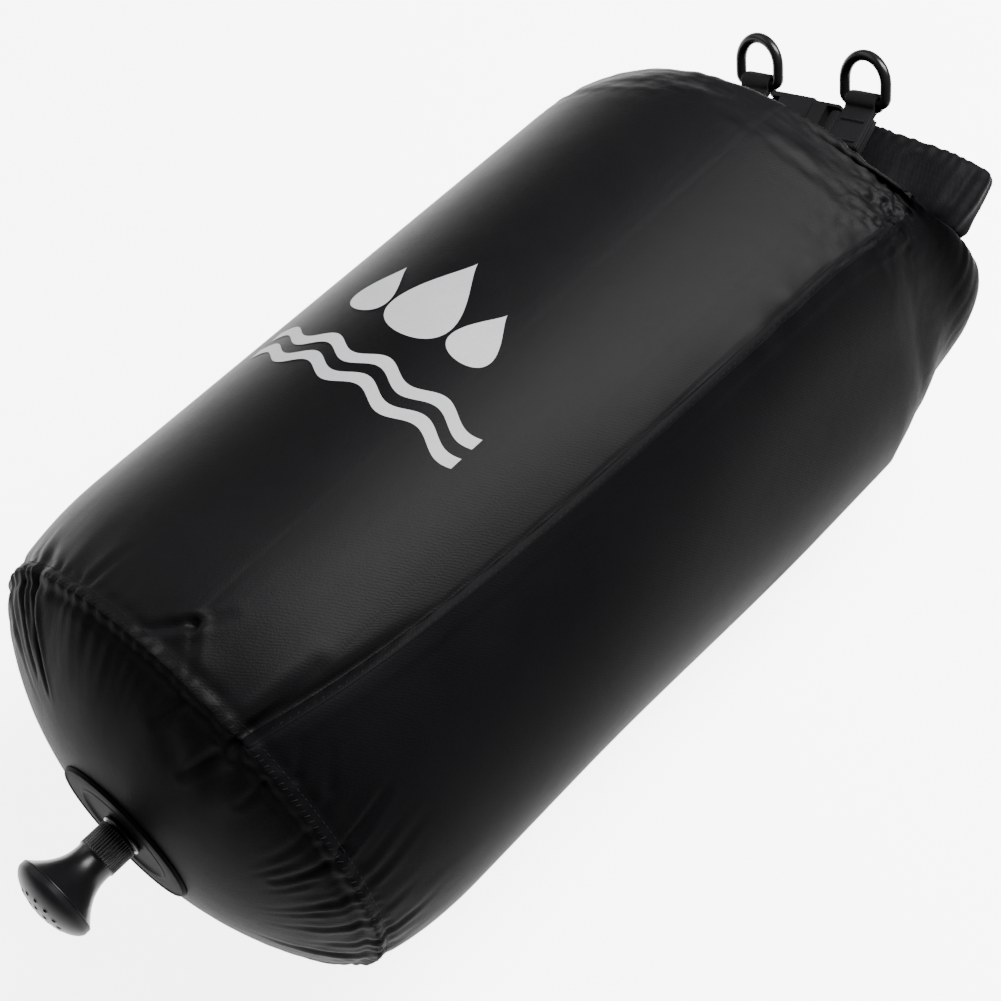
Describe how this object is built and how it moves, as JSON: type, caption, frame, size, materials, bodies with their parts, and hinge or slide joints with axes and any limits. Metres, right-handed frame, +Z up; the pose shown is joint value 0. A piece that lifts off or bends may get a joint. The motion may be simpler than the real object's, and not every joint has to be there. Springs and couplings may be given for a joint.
{
  "type": "roll-top dry-bag camp shower",
  "caption": "Filled roll-top dry bag lying on its side, mouth rolled and clipped into a loop with rings, and a twist-open shower head on its domed base.",
  "frame": {"origin": "on the floor, in the middle of the flat the filled bag rests on, under the bag's axis, 150 mm from the base seam", "axes": "X runs along the bag from the shower head at -X to the rolled mouth at +X, Z up, Y across the bag"},
  "size_m": [0.4153, 0.1858, 0.1819],
  "materials": {
    "bag_fabric": "coated satin",
    "seam_tape": "satin",
    "webbing": "woven matte",
    "stiffener": "matte",
    "ring_plastic": "semi-gloss",
    "buckle_plastic": "fine texture",
    "shower_plastic": "semi-gloss",
    "seal_rubber": "matte"
  },
  "bodies": {
    "bag": {"bag_body": "bag_fabric", "base_panel": "bag_fabric", "base_seam_tape": "seam_tape", "side_seam_tape": "seam_tape", "throat": "bag_fabric", "roll_top": "bag_fabric", "roll_arm_right": "bag_fabric", "stiffener_strip": "stiffener", "stiffener_end": "stiffener", "webbing_left": "webbing", "ring_loop_left": "webbing", "buckle_socket": "buckle_plastic", "outlet_patch": "seam_tape", "spigot": "shower_plastic", "flange_gasket": "seal_rubber", "clamp_nut": "shower_plastic"},
    "valve_ring": {"o_ring": "seal_rubber"},
    "head": {"shower_head": "shower_plastic", "rose_plate": "shower_plastic", "valve_stem": "shower_plastic", "valve_seal": "seal_rubber"},
    "ring_left": {"d_ring_left": "ring_plastic"},
    "ring_right": {"d_ring_right": "ring_plastic"},
    "plug_half": {"buckle_plug": "buckle_plastic", "webbing_right": "webbing", "ring_loop_right": "webbing"},
    "upper_prong": {"prong_upper": "buckle_plastic"},
    "lower_prong": {"prong_lower": "buckle_plastic"}
  },
  "joints": [
    {"name": "head_travel", "type": "slide", "parent": "bag", "child": "valve_ring", "axis": [-1, 0, 0], "range_m": [0, 0.0015]},
    {"name": "head_turn", "type": "hinge", "parent": "valve_ring", "child": "head", "pos_m": [-0.15, 0, 0.089], "axis": [-1, 0, 0], "range_deg": [0, 270]},
    {"name": "ring_left_swing", "type": "hinge", "parent": "bag", "child": "ring_left", "pos_m": [0.18163, 0.0281, 0.13749], "axis": [0.0491, 0.8875, -0.4581], "range_deg": [-60, 90]},
    {"name": "buckle_release", "type": "slide", "parent": "bag", "child": "plug_half", "axis": [-0.0491, -0.8875, 0.4581], "range_m": [0, 0.018], "deforming": ["prong_upper", "prong_lower", "roll_arm_right", "stiffener_end"]},
    {"name": "ring_right_swing", "type": "hinge", "parent": "plug_half", "child": "ring_right", "pos_m": [0.17904, -0.01876, 0.16168], "axis": [0.0491, 0.8875, -0.4581], "range_deg": [-60, 90]},
    {"name": "squeeze_upper", "type": "hinge", "parent": "plug_half", "child": "upper_prong", "pos_m": [0.17636, -0.00448, 0.14847], "axis": [-0.4669, 0.4259, 0.775], "range_deg": [0, 8], "stiffness_Nm_per_rad": 0.05},
    {"name": "squeeze_lower", "type": "hinge", "parent": "plug_half", "child": "lower_prong", "pos_m": [0.16453, -0.00683, 0.14264], "axis": [0.4669, -0.4259, -0.775], "range_deg": [0, 8], "stiffness_Nm_per_rad": 0.05}
  ],
  "couplings": [
    {"joint": "head_turn", "follows": "head_travel", "rad_per_m": 3141.6}
  ]
}
